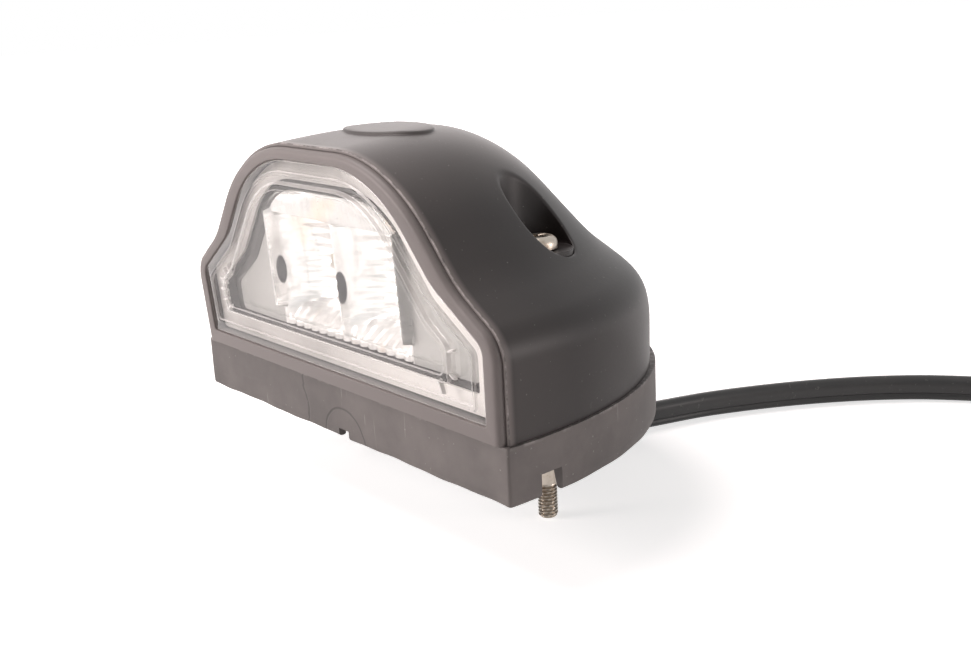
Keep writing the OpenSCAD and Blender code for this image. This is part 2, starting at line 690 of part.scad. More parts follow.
housing();
base_pad();
closing_plate();
lens();
lens_seal();
reflector();
circuit_board();
led(-1);  // led_left
led(1);  // led_right
resistor(-1);  // resistor_left
resistor(1);  // resistor_right
diode();
capacitor();
driver_chip();
board_screw(-1);  // board_screw_left
board_screw(1);  // board_screw_right
screw(-1);  // screw_left
screw(1);  // screw_right
cable_gland();
core(-1, "#a3352b");  // core_red
core(1, "#1c1b1b");  // core_black
cable();
cable_coil();
cable_end();
cable_tie();
end_core(-1, "#a3352b");  // end_core_red
end_core(1, "#1c1b1b");  // end_core_black
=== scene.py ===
import math

import bmesh
import bpy
import numpy as np
from mathutils import Matrix, Vector


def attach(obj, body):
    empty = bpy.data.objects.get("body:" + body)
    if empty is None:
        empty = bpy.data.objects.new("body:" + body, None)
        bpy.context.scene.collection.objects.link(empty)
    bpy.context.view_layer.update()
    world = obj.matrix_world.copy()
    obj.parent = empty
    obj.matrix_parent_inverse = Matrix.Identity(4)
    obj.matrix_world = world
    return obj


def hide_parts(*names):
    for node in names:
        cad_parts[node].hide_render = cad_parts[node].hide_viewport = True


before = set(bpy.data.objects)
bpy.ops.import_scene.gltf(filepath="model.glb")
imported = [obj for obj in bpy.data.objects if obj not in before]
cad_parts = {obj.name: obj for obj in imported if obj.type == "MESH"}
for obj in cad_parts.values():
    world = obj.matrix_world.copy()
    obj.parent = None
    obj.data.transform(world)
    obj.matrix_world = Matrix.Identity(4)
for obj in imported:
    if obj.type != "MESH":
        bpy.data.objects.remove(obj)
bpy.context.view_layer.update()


# Camera. It stands to the right of the lamp and a little above it, at the
# photograph's viewing angle.
camera_data = bpy.data.cameras.new("camera")
camera_data.sensor_width = 36.0
camera_data.lens = 48.465
camera = bpy.data.objects.new("camera", camera_data)
camera.matrix_world = Matrix((
    (0.62226, -0.16522, 0.76518, 0.21930),
    (0.78136, 0.19067, -0.59424, -0.15949),
    (-0.04772, 0.96765, 0.24774, 0.08722),
    (0, 0, 0, 1)))
bpy.context.collection.objects.link(camera)
bpy.context.scene.camera = camera
bpy.context.scene.view_settings.view_transform = "Standard"


# Cable. A flat twin lead in one black sheath with a groove between its cores.
# It leaves the gland downwards, lies on its edge behind the lamp and ends in a
# coil of a turn and a third.
MM = 0.001
TABLE_Z = -16.6


class Socket:
    """A shader output that can be used in sums; each sum adds a Math node."""

    def __init__(self, finish, out):
        self.finish, self.out = finish, out

    def calc(self, operation, *others):
        return self.finish.node("ShaderNodeMath", {"operation": operation}, self, *others)

    def __add__(self, other):
        return self.calc("ADD", other)

    def __radd__(self, other):
        return self.calc("ADD", other)

    def __sub__(self, other):
        return self.calc("SUBTRACT", other)

    def __rsub__(self, other):
        return self.finish.node("ShaderNodeMath", {"operation": "SUBTRACT"}, other, self)

    def __mul__(self, other):
        return self.calc("MULTIPLY", other)

    def __rmul__(self, other):
        return self.calc("MULTIPLY", other)

    def __truediv__(self, other):
        return self.calc("DIVIDE", other)

    def __pow__(self, other):
        return self.calc("POWER", other)

    def band(self, low, high):
        """0 below low, 1 above high, and a smooth rise between them."""
        return self.finish.node("ShaderNodeMapRange", {"interpolation_type": "SMOOTHSTEP"},
                                self, low, high, 0.0, 1.0)


class Finish:
    """A material, or the room. node() adds a shader node and gives back its output."""

    def __init__(self, name, owner=None):
        self.owner = owner or bpy.data.materials.new(name)
        self.owner.use_nodes = True
        self.tree = self.owner.node_tree
        self.tree.nodes.clear()
        self.place = self.node("ShaderNodeTexCoord", {}, out="Object")

    def feed(self, socket, value):
        """Links an input to a shader output, or sets it to a plain value."""
        if isinstance(value, Socket):
            self.tree.links.new(value.out, socket)
        elif isinstance(value, tuple) and len(socket.default_value) == 4:
            socket.default_value = (*value, 1)
        else:
            socket.default_value = value

    def node(self, kind, settings, *values, out=0, **named):
        made = self.tree.nodes.new(kind)
        for key, value in settings.items():
            setattr(made, key, value)
        for i, value in enumerate(values):
            self.feed(made.inputs[i], value)
        for key, value in named.items():
            self.feed(made.inputs[key.replace("_", " ")], value)
        return Socket(self, made.outputs[out])

    def noise(self, scale, detail=3.0, roughness=0.5, stretch=(1, 1, 1)):
        spot = self.node("ShaderNodeVectorMath", {"operation": "MULTIPLY"}, self.place, stretch)
        return self.node("ShaderNodeTexNoise", {}, Vector=spot, Scale=scale, Detail=detail,
                         Roughness=roughness)

    def mix(self, amount, a, b):
        """Colour a where the amount is 0 and colour b where it is 1."""
        made = self.tree.nodes.new("ShaderNodeMix")
        made.data_type = "RGBA"
        for index, value in ((0, amount), (6, a), (7, b)):
            self.feed(made.inputs[index], value)
        return Socket(self, made.outputs[2])

    def axes(self):
        made = self.tree.nodes.new("ShaderNodeSeparateXYZ")
        self.tree.links.new(self.place.out, made.inputs[0])
        return [Socket(self, o) for o in made.outputs]

    def bump(self, height, strength, depth):
        return self.node("ShaderNodeBump", {}, Strength=strength, Distance=depth, Height=height)

    def skin(self, **values):
        return self.node("ShaderNodeBsdfPrincipled", {}, **values)

    def done(self, shader, end="ShaderNodeOutputMaterial"):
        self.feed(self.tree.nodes.new(end).inputs["Surface"], shader)
        return self.owner


def sheath_finish(name, colour, pale, rough):
    f = Finish(name)
    fine = f.noise(2200, 4)
    wide = f.noise(60, 3)
    dust = f.noise(900, 2).band(0.66, 0.78)
    worn = f.mix(wide.band(0.35, 0.75), colour, pale)
    return f.done(f.skin(
        Base_Color=f.mix(dust * 0.25, worn, (0.25, 0.24, 0.23)),
        Roughness=rough + wide * 0.16 + dust * 0.2,
        Normal=f.bump(fine + wide, 0.25, 0.00008)))


def curve_through(points, steps):
    """A smooth line through given points, steps pieces for each pair."""
    p = np.array(points, float)
    line = []
    for i in range(len(p) - 1):
        a, b, c, d = p[max(i - 1, 0)], p[i], p[i + 1], p[min(i + 2, len(p) - 1)]
        for k in range(steps):
            t = k / steps
            line.append(0.5 * (2 * b + (c - a) * t + (2 * a - 5 * b + 4 * c - d) * t * t
                               + (3 * b - a - 3 * c + d) * t ** 3))
    return np.array(line + [p[-1]])


def make(name, points, faces, material, smooth=40):
    """A mesh object from points in millimetres."""
    mesh = bpy.data.meshes.new(name)
    mesh.from_pydata([tuple(float(c) * MM for c in p) for p in points], [], faces)
    mesh.validate()
    piece = bpy.data.objects.new(name, mesh)
    bpy.context.collection.objects.link(piece)
    tidy = bmesh.new()
    tidy.from_mesh(mesh)
    bmesh.ops.remove_doubles(tidy, verts=tidy.verts, dist=2e-6)
    bmesh.ops.recalc_face_normals(tidy, faces=tidy.faces)
    tidy.to_mesh(mesh)
    tidy.free()
    mesh.shade_smooth()
    mesh.set_sharp_from_angle(angle=math.radians(smooth))
    mesh.materials.append(material)
    return piece


def stack(rings, capped=False):
    """Points and faces through rings of equal counts, closed at both ends if capped."""
    m, last = len(rings[0]), len(rings) - 1
    faces = [(i * m + j, i * m + (j + 1) % m, (i + 1) * m + (j + 1) % m, (i + 1) * m + j)
             for i in range(last) for j in range(m)]
    if capped:
        faces += [tuple(range(m)), tuple(range(last * m, last * m + m))]
    return [p for r in rings for p in r], faces


def joined(shapes):
    """Points and faces of several shapes as one."""
    points, faces = [], []
    for more_points, more_faces in shapes:
        faces += [tuple(i + len(points) for i in face) for face in more_faces]
        points += more_points
    return points, faces


def sweep(path, outline, turn=None):
    """An outline swept along a path, turned by its own angle at each point. The
    outline gives each point's distance across the path and up from it."""
    path = np.array(path, float)
    ahead = np.gradient(path, axis=0)
    ahead /= np.linalg.norm(ahead, axis=1)[:, None]
    across = np.cross(ahead, [0.05, 0.03, 1.0])
    across /= np.linalg.norm(across, axis=1)[:, None]
    up = np.cross(across, ahead)
    rings = []
    for i, spot in enumerate(path):
        a = math.radians(turn[i]) if turn is not None else 0.0
        side = across[i] * math.cos(a) - up[i] * math.sin(a)
        high = up[i] * math.cos(a) + across[i] * math.sin(a)
        rings.append([spot + u * side + v * high for u, v in outline])
    return stack(rings, capped=True)


def twin_outline(width, thick, groove_at, groove_deep, groove_half=0.45):
    """Half turns at both ends of a flat lead, with a groove along both sides."""
    r = thick / 2
    rows = np.concatenate([
        width / 2 - r + r * np.sin(np.radians(np.linspace(90, 5, 8))),
        np.linspace(width / 2 - r, -width / 2 + r, 22)[1:-1],
        -width / 2 + r - r * np.sin(np.radians(np.linspace(5, 90, 8)))])
    over = np.maximum(np.abs(rows) - (width / 2 - r), 0)
    half = np.sqrt(np.maximum(r * r - over * over, 0)) \
        - groove_deep * np.exp(-((rows - groove_at) / groove_half) ** 2)
    right = list(zip(half, rows))
    return right + [(-h, v) for h, v in reversed(right)][1:-1]


cable_width, cable_thick = 6.6, 3.6
lead_route = [
    (0, 8, 4), (0, 8.6, 0), (0.3, 10.6, -4), (0.8, 14, -7.8), (1.4, 18.8, -10.9),
    (2.4, 24.6, -12.7), (3.6, 31, -13.2), (5.1, 38.5, -13.3), (7, 47, -13.3),
    (9.1, 55, -13.3), (12.2, 66, -13.3), (15.4, 74, -13.3), (19.2, 82, -13.3),
    (23.6, 90, -13.3), (28.8, 98, -13.3), (35, 106, -13.3), (42.4, 113.6, -13.3),
    (51.2, 120.2, -13.3), (60.3, 126, -13.3), (70, 131.2, -13.3), (80.6, 135.3, -13.3),
    (91.8, 138.3, -13.3), (103, 139.6, -13.3), (114, 139.9, -13.3)]
lead_z = TABLE_Z + cable_width / 2
coil_x, coil_y, coil_r = 114.0, 101.0, 33.4
start_r, end_r = coil_r + 1.5 * cable_thick + 0.1, coil_r - 1.5 * cable_thick - 0.1
outer_r, inner_r = coil_r + cable_thick / 2, coil_r - cable_thick / 2
coil_line = []
for turned in range(4, 487, 4):
    radius = np.interp(turned, [0, 60, 420, 446, 486], [start_r, outer_r, inner_r, end_r, end_r])
    angle = math.radians(90 - turned)
    coil_line.append((coil_x + radius * math.cos(angle), coil_y + radius * math.sin(angle), lead_z))
cable_path = np.vstack([curve_through(lead_route, 5), coil_line])
run = np.concatenate([[0], np.cumsum(np.linalg.norm(np.diff(cable_path, axis=0), axis=1))])
cable_lean = np.interp(run, [0, 6, 52, 70, 190, 240], [90, 90, 14, 17, 17, 0])
cable = make("cable_lead", *sweep(
    cable_path, twin_outline(cable_width, cable_thick, -1.0, 0.5), turn=cable_lean),
    sheath_finish("black_sheath", (0.01, 0.0095, 0.0095), (0.02, 0.019, 0.0185), 0.36), 60)
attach(cable, "root")
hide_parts("cable", "cable_coil", "cable_end")


# Stripped end of the cable. Two insulated cores come out of the sheath inside
# the coil, each with a few millimetres of bare twisted copper.
def round_outline(r, sides=16):
    return [(r * math.cos(2 * math.pi * i / sides), r * math.sin(2 * math.pi * i / sides))
            for i in range(sides)]


def copper_finish(name):
    f = Finish(name)
    return f.done(f.skin(
        Base_Color=f.mix(f.noise(900, 3), (0.62, 0.27, 0.13), (0.78, 0.42, 0.24)),
        Metallic=1.0, Roughness=0.25 + f.noise(1500, 2) * 0.2,
        Normal=f.bump(f.noise(3000, 2), 0.3, 0.00005)))


core_r, core_free, bare_copper, strand_r, lay_r = 1.1, 24.0, 6.0, 0.21, 0.42
core_finishes = {
    "red": sheath_finish("red_core", (0.32, 0.02, 0.015), (0.42, 0.05, 0.035), 0.36),
    "black": sheath_finish("black_core", (0.014, 0.013, 0.013), (0.03, 0.028, 0.027), 0.36)}
copper = copper_finish("bare_copper")
cable_extras = []
for side, colour in ((-1, "red"), (1, "black")):
    mid_z = lead_z + side * 2 * core_r * 0.6
    step = math.degrees(core_free / end_r) / 4
    pull = (side + 3) * 0.5
    core_route = []
    for k, inward, drop in ((0, 0, 0), (1, 0.2, 0.2), (2, 0.5 * pull, 0.7),
                            (3, 1.2 * pull, 1.2), (4, 2 * pull, 1.6)):
        angle = math.radians(-36 - k * step)
        core_route.append((coil_x + (end_r - inward) * math.cos(angle),
                           coil_y + (end_r - inward) * math.sin(angle), mid_z - drop))
    core = make("bared_core_" + colour, *sweep(curve_through(core_route, 6), round_outline(core_r)),
                core_finishes[colour], 60)
    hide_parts("end_core_" + colour)
    tip, before = np.array(core_route[-1]), np.array(core_route[-2])
    ahead = (tip - before) / np.linalg.norm(tip - before)
    sideways = np.cross(ahead, [0, 0, 1.0])
    wires = []
    for k in range(7):
        line = []
        for t in np.linspace(0, 1, 12):
            phase = 2 * math.pi * (k / 6 + 0.7 * t)
            off = 0 if k == 6 else lay_r
            line.append(tip + ahead * (bare_copper * t - 0.5)
                        + off * (math.cos(phase) * sideways + math.sin(phase) * np.array([0, 0, 1])))
        wires.append(sweep(line, round_outline(strand_r, 8)))
    strands = make("copper_" + colour, *joined(wires), copper, 60)
    for piece in (core, strands):
        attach(piece, "root")
    cable_extras += [core, strands]


# Tie. A band of pale plastic round the coil with a small square lock on top.
def box_points(low, high):
    return [(x, y, z) for x in (low[0], high[0]) for y in (low[1], high[1])
            for z in (low[2], high[2])]


BOX_FACES = [(0, 1, 3, 2), (4, 6, 7, 5), (0, 4, 5, 1), (2, 3, 7, 6), (0, 2, 6, 4), (1, 5, 7, 3)]


def tie_finish(name):
    f = Finish(name)
    return f.done(f.skin(
        Base_Color=f.mix(f.noise(300, 3), (0.62, 0.61, 0.57), (0.74, 0.73, 0.7)),
        Roughness=0.38 + f.noise(700, 3) * 0.2,
        Normal=f.bump(f.noise(1800, 3), 0.2, 0.00005)))


tie_x, tie_half, tie_top = coil_x - coil_r, 4.3, TABLE_Z + cable_width + 0.5
corner, band_thick, band_half = 1.4, 0.5, 1.6
loop = []
for cx, cz, start in ((tie_half - corner, tie_top - corner, 0),
                      (-tie_half + corner, tie_top - corner, 90),
                      (-tie_half + corner, TABLE_Z + 0.2 + corner, 180),
                      (tie_half - corner, TABLE_Z + 0.2 + corner, 270)):
    for a in np.radians(np.linspace(start, start + 90, 7)):
        loop.append((tie_x + cx + corner * math.cos(a), cz + corner * math.sin(a)))
band_points, band_faces = [], []
for x, z in loop:
    nx, nz = x - tie_x, z - (tie_top + TABLE_Z) / 2
    far = math.hypot(nx, nz)
    for thick in (0.0, -band_thick):
        for y in (-band_half, band_half):
            band_points.append((x + thick * nx / far, coil_y + y, z + thick * nz / far))
count = len(loop)
for i in range(count):
    a, b = 4 * i, 4 * ((i + 1) % count)
    band_faces += [(a, b, b + 1, a + 1), (a + 2, a + 3, b + 3, b + 2), (a, a + 2, b + 2, b),
                   (a + 1, b + 1, b + 3, a + 3)]
lock = box_points((tie_x - 2.2, coil_y - 1.8, tie_top - 0.4),
                  (tie_x + 2.0, coil_y + 1.8, tie_top + 0.5))
tie_piece = make("coil_tie", *joined([(band_points, band_faces), (lock, BOX_FACES)]),
                 tie_finish("pale_nylon"), 40)
rounder = tie_piece.modifiers.new("rounded", "BEVEL")
rounder.width, rounder.segments, rounder.limit_method = 0.12 * MM, 2, "ANGLE"
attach(tie_piece, "root")
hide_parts("cable_tie")


# Table and light. A white table that keeps a faint shadow, a white room, and
# four large soft lamps: above, behind on the left, in front on the left and low
# on the right.
warm_white = (1, 0.91, 0.89)


def seen_directly(f):
    """1 where the camera looks, also by way of metal and glass, and 0 for other light."""
    camera_ray, glossy_ray, glass_ray = [
        f.node("ShaderNodeLightPath", {}, out=kind)
        for kind in ("Is Camera Ray", "Is Glossy Ray", "Is Transmission Ray")]
    return camera_ray.calc("MAXIMUM", glossy_ray).calc("MAXIMUM", glass_ray)


world = bpy.context.scene.world or bpy.data.worlds.new("room")
bpy.context.scene.world = world
room = Finish("room", world)
room_light = room.node("ShaderNodeBackground", {}, Color=warm_white, Strength=0.1)
room_white = room.node("ShaderNodeBackground", {}, Color=(1, 1, 1), Strength=1.0)
room.done(room.node("ShaderNodeMixShader", {}, seen_directly(room), room_light, room_white),
          "ShaderNodeOutputWorld")

table = Finish("white_table")
x, y, _ = table.axes()
away = ((x ** 2 + y ** 2) ** 0.5).band(0.12, 0.5)
paper = table.node("ShaderNodeBsdfDiffuse", {}, Color=(0.8, 0.8, 0.8))
glow = table.node("ShaderNodeEmission", {}, Color=table.mix(away, (0.68, 0.68, 0.68), (1, 1, 1)),
                  Strength=seen_directly(table))
bpy.ops.mesh.primitive_plane_add(size=6, location=(0, 0, TABLE_Z * MM - 0.0001))
table_top = bpy.context.object
table_top.name = "table_top"
table_top.data.materials.append(table.done(table.node("ShaderNodeAddShader", {}, paper, glow)))


def lamp(name, place, aim, size, power):
    data = bpy.data.lights.new(name, "AREA")
    data.shape, data.size, data.energy, data.color = "DISK", size, power, warm_white
    light = bpy.data.objects.new(name, data)
    light.location = place
    light.rotation_euler = (Vector(aim) - Vector(place)).to_track_quat("-Z", "Y").to_euler()
    bpy.context.collection.objects.link(light)


lamp("lamp_above", (-0.25, -0.2, 0.75), (0, 0, 0.03), 0.5, 5.0)
lamp("lamp_behind_left", (-0.62, 0.48, 0.24), (0, 0, 0.04), 0.6, 1.6)
lamp("lamp_front_left", (-0.4, -0.65, 0.3), (0, 0, 0.03), 0.4, 5.2)
lamp("lamp_right", (0.7, 0.45, 0.06), (0, 0, 0.01), 0.4, 3.0)


# Base. A hollow skirt of black rubber that seals the lamp to its panel. It has
# a thin lip, a shelf that the housing stands on, a drain notch in each flank
# and the mark of its gate in the front.
PLAN_POWER = 2.1
SCREW_BACK = 28.5
base_half, base_deep, base_high = 55.0, 71.0, 11.0
base_wall, lip_wall, shelf_thick, shelf_wide = 4.2, 1.6, 2.4, 12.0
shelf_low = base_high - shelf_thick
notch_back, notch_half, notch_high = 10.2, 2.6, 4.3
gate_left, gate_right, gate_deep, gate_high = 0.2, 3.8, 2.2, 1.8
gate_ring_x, gate_ring_r, flow_line_x = 2.5, 7.2, -12.5


def power(values, e):
    """A power that keeps the sign."""
    return np.sign(values) * np.abs(values) ** e


def plan_ring(half, deep, front, z, sides=150, corner=0.6):
    """A D-shaped ring: a flat front with small round corners, and a full back."""
    a = np.radians(180 * (0.5 - 0.5 * np.cos(np.linspace(0, math.pi, sides))))
    start = math.asin(min(1, max(front, 0) / deep) ** (PLAN_POWER / 2))
    a = start + a * (math.pi - 2 * start) / math.pi
    x = half * power(np.cos(a), 2 / PLAN_POWER)
    y = deep * power(np.sin(a), 2 / PLAN_POWER)
    keep = y > front + corner
    edge = float(x[keep][0])
    turn = np.radians(np.linspace(0, 90, 6))
    right = [(edge - corner + corner * math.cos(t), front + corner - corner * math.sin(t))
             for t in turn]
    flat = [(xx, front) for xx in np.linspace(edge - corner, -edge + corner, 60)[1:-1]]
    left = [(-px, py) for px, py in reversed(right)]
    back = list(zip(x[keep], y[keep]))[::-1]
    return [(px, py - SCREW_BACK, z) for px, py in right + flat + left + back[1:-1]]


def base_ring(inset, z, wave=0.0):
    ring = plan_ring(base_half - inset, base_deep - inset, inset, z)
    return [(x, y, z + wave * (math.sin(x * 0.23 + y * 0.11) + 0.6 * math.sin(x * 0.61 - y * 0.3)))
            for x, y, z in ring]


base_rings = [base_ring(t, z, w) for t, z, w in (
    (0.25, base_high, 0), (0.12, base_high - 0.02, 0), (0.04, base_high - 0.07, 0),
    (0.0, base_high - 0.18, 0), (0.0, 8.0, 0), (0.0, 5.0, 0), (0.0, 2.0, 0), (0.05, 0.5, 0.06),
    (0.2, 0.2, 0.1), (0.5, 0.06, 0.1), (lip_wall - 0.3, 0.06, 0.06), (lip_wall, 0.35, 0),
    (base_wall - 0.6, shelf_low - 0.5, 0), (base_wall, shelf_low, 0),
    (shelf_wide - 0.4, shelf_low, 0), (shelf_wide, shelf_low + 0.4, 0),
    (shelf_wide, base_high - 0.3, 0), (shelf_wide - 0.3, base_high, 0))]


def rubber_finish(name):
    f = Finish(name)
    x, y, z = f.axes()
    bloom = f.noise(45, 5, 0.6)
    fine = f.noise(1500, 5, 0.6)
    grain = f.noise(500, 3)
    scuff = f.noise(260, 4, 0.6, (0.25, 1, 2.2)).band(0.6, 0.72)
    scratch = f.noise(900, 2, 0.5, (1, 1, 0.08)).band(0.7, 0.74) * f.noise(90, 2).band(0.5, 0.6)
    specks = f.noise(1300, 1).band(0.74, 0.78)
    flow = f.noise(60, 3, 0.55, (1, 1, 2))
    front = 1 - (y + SCREW_BACK * MM).band(0.0005, 0.0015)
    drift = flow - 0.5
    weld = (x - flow_line_x * MM + drift * 0.008).calc("ABSOLUTE").band(0.0001, 0.0005)
    far = ((x - gate_ring_x * MM) ** 2 + (z * 1.15) ** 2) ** 0.5 + drift * 0.0012
    ring = (far - gate_ring_r * MM).calc("ABSOLUTE").band(0.0001, 0.0004)
    line = (1 - (1 - weld) * front) * (1 - (1 - ring) * front)
    rim = z.band(0.0103, 0.0109) * f.noise(300, 4, 0.6).band(0.48, 0.66)
    colour = f.mix(bloom.band(0.3, 0.75), (0.078, 0.07, 0.067), (0.145, 0.131, 0.126))
    colour = f.mix(scuff * 0.35, colour, (0.16, 0.15, 0.145))
    colour = f.mix(specks * 0.5 + scratch * 0.35, colour, (0.32, 0.31, 0.3))
    colour = f.mix(rim * 0.6, colour, (0.34, 0.32, 0.31))
    colour = f.mix((1 - line) * 0.6, colour, (0.03, 0.028, 0.027))
    return f.done(f.skin(
        Base_Color=colour,
        Roughness=0.56 + bloom * 0.16 + scuff * 0.12,
        Normal=f.bump(fine * 0.35 + grain * 0.5 - scratch * 0.8 + specks * 0.4 + line * 1.2,
                      0.5, 0.00012)))


base = make("rubber_base", *stack(base_rings + base_rings[:1]), rubber_finish("black_rubber"), 35)


def cut_box(piece, low, high):
    """Takes a box out of a piece."""
    cutter = make("cutter", box_points(low, high), BOX_FACES, piece.data.materials[0])
    taken = piece.modifiers.new("cut", "BOOLEAN")
    taken.object, taken.operation, taken.solver = cutter, "DIFFERENCE", "EXACT"
    bpy.context.view_layer.update()
    result = bpy.data.meshes.new_from_object(
        piece.evaluated_get(bpy.context.evaluated_depsgraph_get()))
    piece.modifiers.clear()
    piece.data = result
    bpy.data.objects.remove(cutter)


for side in (-1, 1):
    cut_box(base, (side * base_half - 7, notch_back - notch_half - SCREW_BACK, -3),
            (side * base_half + 7, notch_back + notch_half - SCREW_BACK, notch_high))
cut_box(base, (gate_left, -1 - SCREW_BACK, -3), (gate_right, gate_deep - SCREW_BACK, gate_high))
base.data.shade_smooth()
base.data.set_sharp_from_angle(angle=math.radians(35))
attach(base, "root")
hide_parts("base_pad")


# Housing. One thick moulding of black plastic: a dome that falls to a rounded
# shoulder, a flat face that overhangs a little, and two screw wells. The screws
# hold it down on the base.
house_top, waist_z, house_foot, crown, crown_run = 59.4, 37.7, 11.0, 1.5, 46.0
lean = math.radians(3)
nose_deep = 1.8
front_corners = [(0, house_top), (26.2, house_top), (43.8, waist_z), (55.4, 29.8),
                 (54.3, house_foot)]
back_corners = [(0, house_top), (38.6, house_top), (57.8, 36.6), (69, 26.4), (69.2, house_foot)]
roof_r, waist_r, shoulder_r = 36, 25, 7.5
roof_steps = 9


def arc(a, b, c, r, steps):
    """Points of the arc of radius r that rounds the corner b."""
    a, b, c = (np.array(p, float) for p in (a, b, c))
    u, w = (a - b) / np.linalg.norm(a - b), (c - b) / np.linalg.norm(c - b)
    half = math.acos(np.clip(u @ w, -1, 1)) / 2
    centre = b + (u + w) / np.linalg.norm(u + w) * r / math.sin(half)
    p, q = b + u * r / math.tan(half) - centre, b + w * r / math.tan(half) - centre
    start = math.atan2(p[1], p[0])
    turn = (math.atan2(q[1], q[0]) - start + 3 * math.pi) % (2 * math.pi) - math.pi
    return [centre + r * np.array([math.cos(start + turn * t), math.sin(start + turn * t)])
            for t in np.linspace(0, 1, steps)]


def inset(corners, margins):
    """The corners moved inwards by a margin for each edge."""
    edges = []
    for i in range(4):
        a, b = np.array(corners[i], float), np.array(corners[i + 1], float)
        u = (b - a) / np.linalg.norm(b - a)
        edges.append((a + margins[i] * np.array([u[1], -u[0]]), u))
    edges.append((np.array([0, corners[4][1] + margins[4]]), np.array([1.0, 0])))
    moved = [(0, corners[0][1] - margins[0])]
    for (p, u), (q, w) in zip(edges[:-1], edges[1:]):
        d = q - p
        moved.append(p + u * (d[0] * w[1] - d[1] * w[0]) / (u[0] * w[1] - u[1] * w[0]))
    return moved


def half_outline(corners, radii, foot=0.0):
    """From the middle of the roof down to the foot, and in to the middle."""
    arcs = [arc(corners[i], corners[i + 1], corners[i + 2], radii[i], (30, 18, 14)[i])
            for i in range(3)]
    line = list(np.linspace(corners[0], arcs[0][0], roof_steps + 1)[:-1])
    for i in range(3):
        line += arcs[i]
        if i < 2:
            line += list(np.linspace(arcs[i][-1], arcs[i + 1][0], 8)[1:-1])
    if foot > 0:
        turn = arc(corners[3], corners[4], (0, corners[4][1]), foot, 6)
    else:
        turn = [np.array(corners[4])] * 6
    line += list(np.linspace(arcs[2][-1], turn[0], 14)[1:-1]) + turn
    line += list(np.linspace(turn[-1], (0, corners[4][1]), 40)[1:])
    return [np.array(p) for p in line]


def bell(margins, t=0.0, foot=0.0):
    """A closed bell-shaped outline inside the rim, as the lens and face have."""
    m = [v + t for v in margins]
    waist = 7.5 if m[1] > 9 else waist_r - 1.5 * m[1]
    radii = (max(roof_r - m[0] * 1.2 - m[1] * 0.6, 6), waist, max(shoulder_r - m[3], 2.4))
    half = half_outline(inset(front_corners, m), radii, foot)
    return half[:-1] + [np.array((-p[0], p[1])) for p in reversed(half[1:])]


def on_face(x, depth, up):
    """A point of the leaning face, from its depth behind it and height up it."""
    return (x, depth * math.cos(lean) - up * math.sin(lean) - SCREW_BACK,
            depth * math.sin(lean) + up * math.cos(lean))


def face_ring(outline, depth):
    return [on_face(p[0], depth, p[1]) for p in outline]


def face_y(z):
    """Where the face's plane is at a height, measured from the base's front."""
    return nose_deep - z * math.tan(lean)


rim = half_outline(front_corners, (roof_r, waist_r, shoulder_r))
rim = [p for p in rim if p[1] > house_foot + 1e-4] + [front_corners[4]]
back_half = half_outline(back_corners, (28, 25, 14))
roof_half, back_roof_half = rim[roof_steps][0], back_half[roof_steps][0]
back_line = np.array([p for p in back_half if p[0] > 20 and p[1] > house_foot + 1e-4]
                     + [back_corners[4]])
# Short steps, because the points of the flat roof all share one height.
fine_back = []
for p, q in zip(back_line[:-1], back_line[1:]):
    fine_back += [p + (q - p) * k / 12 for k in range(12)]
fine_back = np.array(sorted(fine_back, key=lambda p: p[1]))
rim_line = np.array(sorted([tuple(p) for p in rim], key=lambda p: p[1]))


def rise(z, y):
    """The roof's crown, which grows from the waist up and is highest in mid depth."""
    k = max(0.0, (z - waist_z) / (house_top - waist_z))
    return crown * k * k * math.sin(math.pi * min(1.0, max(0.0, (y - face_y(z)) / crown_run)))


def dome_row(w, z, sides=120):
    """A level line of the dome's skin from the right of the face round to its left."""
    front = face_y(z)
    deep = float(np.interp(z, fine_back[:, 1], fine_back[:, 0]))
    if z >= house_top - 1e-6:
        deep = front + (back_roof_half - front) * w / roof_half
    row = []
    for i in range(sides + 1):
        a = math.pi * i / sides
        y = front + (deep - front) * math.sin(a) ** (2 / PLAN_POWER)
        x = w * float(power(np.array(math.cos(a)), 2 / PLAN_POWER))
        row.append((x, y - SCREW_BACK, z + rise(z, y)))
    return row


def on_dome(x, y, lift=0.0):
    """The point of the dome's skin above a place, lifted by a little."""
    y = y + SCREW_BACK
    low, high = house_foot, house_top
    # Halves the range of heights until the place lies on the dome's outline.
    for _ in range(40):
        z = (low + high) / 2
        w = float(np.interp(z, rim_line[:, 1], rim_line[:, 0]))
        deep = float(np.interp(z, fine_back[:, 1], fine_back[:, 0])) - face_y(z)
        inside = abs(x / w) ** PLAN_POWER + (max(y - face_y(z), 0) / deep) ** PLAN_POWER < 1
        low, high = (z, high) if inside else (low, z)
    return (x, y - SCREW_BACK, z + rise(z, y) + lift)


screw_x = 31.5
wells = (-screw_x, screw_x)
well_r, mouth, reach, well_floor, screw_hole = 6.75, 0.9, 3.4, 38.4, 2.3
pad_y, pad_a, pad_b, pad_high = 17 - SCREW_BACK, 12.0, 7.5, 0.6
stud_outer, stud_bore, stud_low, stud_top = 4.5, 2.25, 0.8, 14.0
turns = np.radians(np.arange(0, 360, 5))
body = bmesh.new()


def add_rings(rings, closed=True, skip=lambda spot: False):
    """Adds rings of points to the body and the faces between them, strip by strip."""
    made = [[body.verts.new([c * MM for c in p]) for p in r] for r in rings]
    strips = []
    for low, high in zip(made[:-1], made[1:]):
        strips.append([])
        for i in range(len(low) if closed else len(low) - 1):
            j = (i + 1) % len(low)
            corners = (low[i], low[j], high[j], high[i])
            apart = len({tuple(round(c, 7) for c in v.co) for v in corners})
            if apart >= 3 and not skip(sum((v.co for v in corners), Vector()) / 4 / MM):
                strips[-1].append(body.faces.new(corners))
    return made, strips


